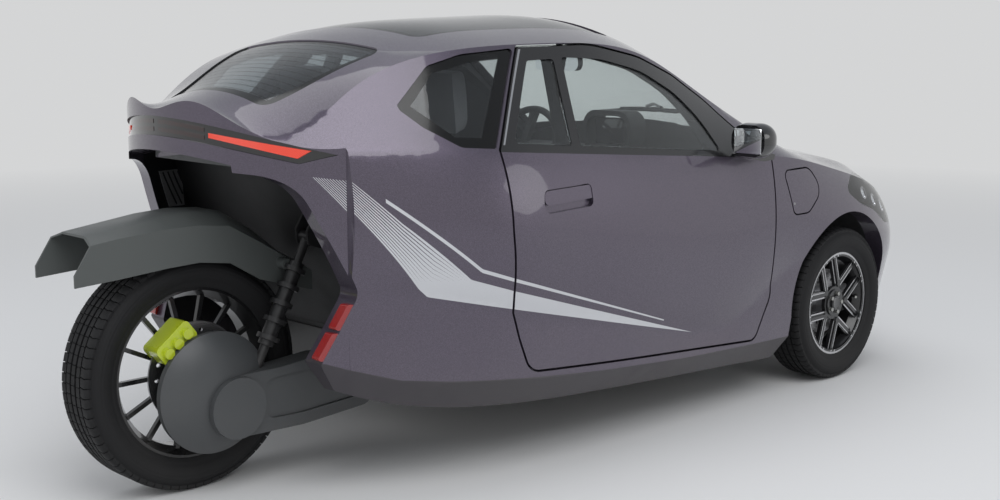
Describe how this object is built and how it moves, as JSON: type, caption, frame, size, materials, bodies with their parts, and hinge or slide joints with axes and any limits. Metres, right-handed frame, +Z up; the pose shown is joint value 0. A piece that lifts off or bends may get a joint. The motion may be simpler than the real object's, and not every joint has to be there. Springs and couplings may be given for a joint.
{
  "type": "three wheeled car",
  "caption": "Small electric coupe with steered front wheels, a single driven rear wheel on a one sided arm, opening doors, bonnet and charge flap.",
  "frame": {"origin": "on the ground under the middle of the car's length and width", "axes": "+X forward, +Y to the car's left, +Z up"},
  "size_m": [3.334, 1.658, 1.3502],
  "materials": {
    "body_paint": "metallic mauve gloss",
    "black_trim": "gloss black",
    "dark_plastic": "satin dark grey",
    "inner_plastic": "grained black",
    "clear_glass": "tinted clear",
    "lamp_red": "gloss red",
    "lamp_clear": "clear lens",
    "tyre_rubber": "matte black",
    "rim_black": "gloss black",
    "rim_machined": "machined and black",
    "disc_steel": "turned",
    "chassis_steel": "semi gloss black",
    "cast_alloy": "as cast",
    "caliper_paint": "yellow green gloss",
    "seat_fabric": "dark woven",
    "battery_case": "matt black"
  },
  "bodies": {
    "root": {"arm_brackets": "chassis_steel", "battery_block": "battery_case", "brake_caliper": "caliper_paint", "cabin_mirror": "black_trim", "control_arms": "chassis_steel", "cowl_panel": "black_trim", "dashboard": "inner_plastic", "fender_left": "body_paint", "fender_right": "body_paint", "firewall": "inner_plastic", "floor_pan": "chassis_steel", "front_bumper": "body_paint", "front_dampers": "chassis_steel", "front_frame": "chassis_steel", "headlamps": "lamp_clear", "hub_cover": "dark_plastic", "instrument_hoop": "inner_plastic", "quarter_glass": "clear_glass", "quarter_left": "body_paint", "quarter_right": "body_paint", "rear_axle": "disc_steel", "rear_bulkhead": "inner_plastic", "rear_glass": "clear_glass", "rear_mudguard": "dark_plastic", "roof_frame": "body_paint", "roof_glass": "clear_glass", "seat_backs": "seat_fabric", "seat_cushions": "seat_fabric", "shock_absorber": "chassis_steel", "sill_cladding": "dark_plastic", "steering_column": "inner_plastic", "swingarm": "dark_plastic", "tail_lamp": "black_trim", "tail_lights": "lamp_red", "tail_lip": "body_paint", "tail_panel": "body_paint", "wheel_liners": "inner_plastic", "windscreen": "clear_glass"},
    "door_left": {"door_panel_left": "body_paint", "door_frame_left": "black_trim", "door_glass_left": "clear_glass", "door_mirror_left": "black_trim"},
    "door_right": {"door_panel_right": "body_paint", "door_frame_right": "black_trim", "door_glass_right": "clear_glass", "door_mirror_right": "black_trim"},
    "bonnet": {"bonnet": "body_paint"},
    "charge_flap": {"charge_flap": "body_paint"},
    "steering_wheel": {"steering_wheel": "inner_plastic"},
    "knuckle_left": {"knuckle_left": "cast_alloy"},
    "knuckle_right": {"knuckle_right": "cast_alloy"},
    "front_wheel_left": {"front_rim_left": "rim_machined", "front_tyre_left": "tyre_rubber", "front_disc_left": "disc_steel"},
    "front_wheel_right": {"front_rim_right": "rim_machined", "front_tyre_right": "tyre_rubber", "front_disc_right": "disc_steel"},
    "rear_wheel": {"rear_rim": "rim_black", "rear_tyre": "tyre_rubber", "rear_disc": "disc_steel"}
  },
  "joints": [
    {"name": "steer_left", "type": "hinge", "parent": "root", "child": "knuckle_left", "pos_m": [1.107, 0.575, 0.285], "axis": [0, 0, 1], "range_deg": [-32, 32]},
    {"name": "steer_right", "type": "hinge", "parent": "root", "child": "knuckle_right", "pos_m": [1.107, -0.575, 0.285], "axis": [0, 0, 1], "range_deg": [-32, 32]},
    {"name": "steering_turn", "type": "hinge", "parent": "root", "child": "steering_wheel", "pos_m": [0.397, 0.3, 0.85], "axis": [-0.9062, 0, 0.4229], "range_deg": [-448, 448]},
    {"name": "spin_front_left", "type": "hinge", "parent": "knuckle_left", "child": "front_wheel_left", "pos_m": [1.107, 0.608, 0.285], "axis": [0, 1, 0], "continuous": true},
    {"name": "spin_front_right", "type": "hinge", "parent": "knuckle_right", "child": "front_wheel_right", "pos_m": [1.107, -0.608, 0.285], "axis": [0, 1, 0], "continuous": true},
    {"name": "spin_rear", "type": "hinge", "parent": "root", "child": "rear_wheel", "pos_m": [-1.293, 0, 0.34], "axis": [0, 1, 0], "continuous": true},
    {"name": "door_left_swing", "type": "hinge", "parent": "root", "child": "door_left", "pos_m": [0.625, 0.712, 0.6], "axis": [0, 0, -1], "range_deg": [0, 66]},
    {"name": "door_right_swing", "type": "hinge", "parent": "root", "child": "door_right", "pos_m": [0.625, -0.712, 0.6], "axis": [0, 0, 1], "range_deg": [0, 66]},
    {"name": "bonnet_lift", "type": "hinge", "parent": "root", "child": "bonnet", "pos_m": [0.896, 0, 0.934], "axis": [0, -1, 0], "range_deg": [0, 50]},
    {"name": "charge_flap_swing", "type": "hinge", "parent": "root", "child": "charge_flap", "pos_m": [0.913, -0.706, 0.735], "axis": [0, 0, 1], "range_deg": [0, 95]}
  ],
  "couplings": [
    {"joint": "steer_right", "follows": "steer_left", "ratio": 1},
    {"joint": "steering_turn", "follows": "steer_left", "ratio": 14}
  ]
}
